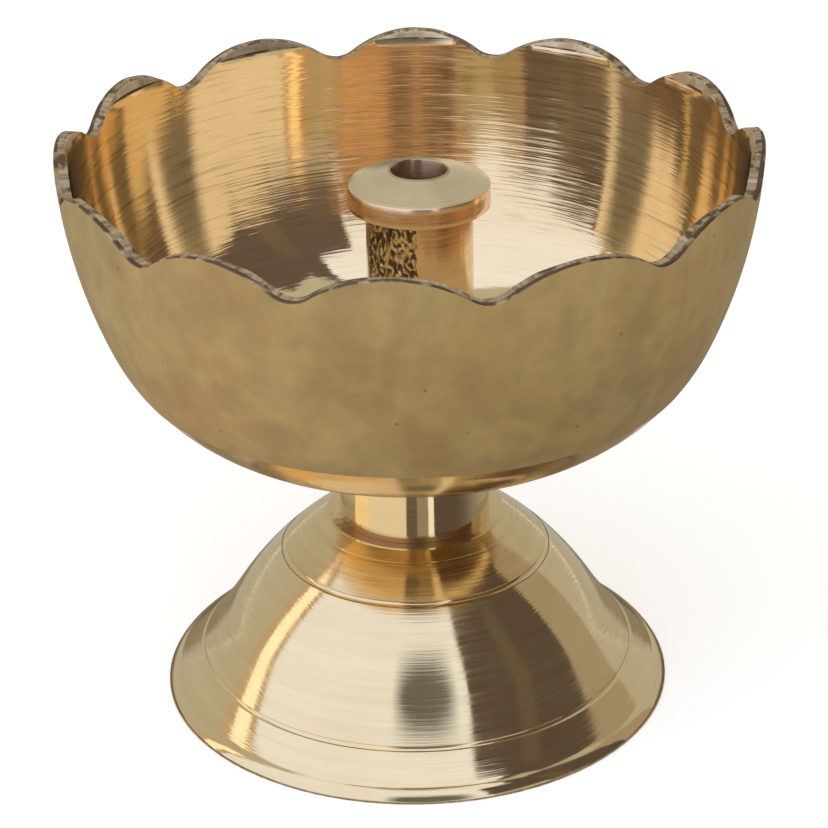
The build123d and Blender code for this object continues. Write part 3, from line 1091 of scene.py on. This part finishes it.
# %% Screens
# Each has its left and right direction, its low and high elevation and its distance in metres.
daylight_colour = (0.98, 1.06, 1.32)
daylight = glowing("daylight", daylight_colour)
sunlit_edge = glowing("sunlit_edge", (1.38, 1.26, 1.10))
window_frame = glowing("window_frame", (0.60, 0.48, 0.36))
dark_cloth_and_shadow_colour = (0.115, 0.092, 0.082)
dark_cloth_and_shadow = glowing("dark_cloth_and_shadow", dark_cloth_and_shadow_colour)
worn_cloth = glowing("worn_cloth", (0.15, 0.12, 0.095))
brown_curtain = glowing("brown_curtain", (0.42, 0.37, 0.30))
curved_screen("soft_window", -93, 31, 1, 76, 0.80, daylight, lights=True)
curved_screen("high_window", 31, 75, 50, 76, 0.80, daylight, lights=True)
curved_screen("window_frame", -108, -91, 2, 44, 0.79, window_frame)
curved_screen("bright_edge", -102.5, -94.5, 2, 42, 0.78, sunlit_edge)
curved_screen("dark_screen", 29, 56, 19, 56, 0.70, dark_cloth_and_shadow, lean=5)
curved_screen("dark_slope", 56, 75, 8, 60, 0.70, dark_cloth_and_shadow, rise=16)
curved_screen("dark_end", 75, 97, 0, 62, 0.70, dark_cloth_and_shadow)
curved_screen("brown_end", 97, 120, 0, 45, 0.70, brown_curtain)
curved_screen("worn_stripe", 59, 69, 14, 48, 0.69, worn_cloth)

# %% Soft shade at the front
# Each point of this screen stores how near the middle it is, and the light fades to daylight at its edges.
shade_colour = (0.16, 0.17, 0.18)
shade_fullness = 2.2            # above 1, the middle is evenly dark before the fade begins
soft_shade = glowing("soft_shade", daylight_colour)
tree = soft_shade.node_tree
stored = add_node(tree, "ShaderNodeAttribute", attribute_name="middle_share")
faded = mixed(tree, stored.outputs["Fac"], daylight_colour, shade_colour)
tree.links.new(faded, tree.nodes["Emission"].inputs["Color"])
camera_shade = curved_screen("camera_shade", -15.5, 24.5, 1, 47, 0.36, soft_shade)
middle_share = camera_shade.data.attributes.new("middle_share", "FLOAT", "POINT")
for index in range(len(camera_shade.data.vertices)):
    row, column = divmod(index, screen_columns + 1)
    across = math.sin(math.pi * column / screen_columns)
    up_share = math.sin(math.pi * row / screen_rows)
    middle_share.data[index].value = min(1.0, shade_fullness * across * up_share)

# %% [markdown]
# ## Mats
# The neck, the lip and the bowl's underside look down, so they mirror the floor near the lamp. Mats that only
# the metal sees lie there: shade round the foot, a sunlit patch on the left and the lamp's painted shadow on
# the right, in the dark cloth's colour. The painted shadow fades towards the back in narrow steps, because a
# cylinder such as the neck shows every edge.

# %% Shape of a mat
mat_lift = 0.2 * mm


def floor_mat(name, left, right, near, far, material):
    """A patch on the floor, between two directions in degrees and two distances from the axis in mm."""
    columns = max(8, round((right - left) / 4))
    directions = [math.radians(left + (right - left) * column / columns) for column in range(columns + 1)]
    points = []
    for distance in (near * mm, far * mm):
        points += [(distance * math.sin(d), -distance * math.cos(d), mat_lift) for d in directions]
    faces = [(k, k + 1, k + columns + 2, k + columns + 1) for k in range(columns)]
    return studio_sheet(name, points, faces, material)


# %% Mats on the floor
contact_shade = glowing("contact_shade", (0.16, 0.13, 0.10))
near_shade = glowing("near_shade", (0.55, 0.50, 0.43))
left_shade = glowing("left_shade", (0.88, 0.81, 0.71))
sunlit_shade = glowing("sunlit_shade", (1.05, 0.83, 0.52))
edge_shade = glowing("edge_shade", (0.34, 0.30, 0.25))
back_colour = (0.50, 0.49, 0.44)
back_shade = glowing("back_shade", back_colour)
under_shade = glowing("under_shade", (0.30, 0.25, 0.17))
fade_start, under_start, fade_end = 61, 97, 121
floor_mat("contact_ring", -180, 180, 29, 31, contact_shade)
floor_mat("near_ring", -97, 27, 31, 38, near_shade)
# The dark cloth's colour on the floor here is the lamp's painted shadow.
floor_mat("right_mat", 27, fade_start, 31, 110, dark_cloth_and_shadow)
floor_mat("sunlit_mat", -97, -70, 38, 120, sunlit_shade)
floor_mat("left_mat", -70, -12, 38, 120, left_shade)
floor_mat("front_mat", -12, 3, 38, 150, worn_cloth)
floor_mat("front_edge", 3, 19, 38, 150, edge_shade)
floor_mat("under_mat", under_start, 263, 31, 50, under_shade)
floor_mat("back_mat", fade_end, 263, 50, 700, back_shade)

# %% Fade of the dark mat
# The painted shadow fades from the dark cloth's colour to the back mat's colour.
fade_steps = 10
fade_width = (fade_end - fade_start) / fade_steps
fade_curve = 1.5
for step in range(fade_steps):
    left = fade_start + fade_width * step
    share = ((step + 0.5) / fade_steps) ** fade_curve
    colour = [dark + share * (pale - dark) for dark, pale in zip(dark_cloth_and_shadow_colour, back_colour)]
    near, far = (31, 110) if left < under_start else (50, 700)
    fading = glowing("fading_shade_" + str(step), colour)
    floor_mat("fading_mat_" + str(step), left, left + fade_width, near, far, fading)

# %% [markdown]
# ## Room
# What is left between the screens is the world. It is one even warm grey, which the metal shows as a plain
# wall, and it fills the shadows.

# %% Room
room_light = bpy.data.worlds.new("warm_grey_room")
bpy.context.scene.world = room_light
room_light.use_nodes = True
room = room_light.node_tree.nodes["Background"]
room.inputs["Color"].default_value = (0.54, 0.53, 0.48, 1)
room.inputs["Strength"].default_value = 1.0
print("room", room_light.name)

# %% [markdown]
# ## Camera
# The photograph was taken from close by, looking down at the lamp. The camera's place, its angles and the
# lens come from fitting a camera to the rim's tips and valleys and to the turned circles.

# %% Camera
camera_data = bpy.data.cameras.new("photo_camera")
camera = bpy.data.objects.new("photo_camera", camera_data)
bpy.context.scene.collection.objects.link(camera)
camera_data.sensor_width = 36.0
camera_data.lens = 123.74
camera_data.clip_start = 0.01
tilt_down = math.radians(26.08)
turn_left = math.radians(0.162)
roll = math.radians(-0.899)
aim = Matrix.Rotation(turn_left, 4, "Z") @ Matrix.Rotation(math.pi / 2 - tilt_down, 4, "X")
aim = aim @ Matrix.Rotation(roll, 4, "Z")
camera_place = Vector((0.88 * mm, -286.7 * mm, 173.2 * mm))
camera.matrix_world = Matrix.Translation(camera_place) @ aim
bpy.context.scene.camera = camera
bpy.context.scene.view_settings.view_transform = "Standard"
print("camera is", round(camera_place.length, 3), "m from the foot")
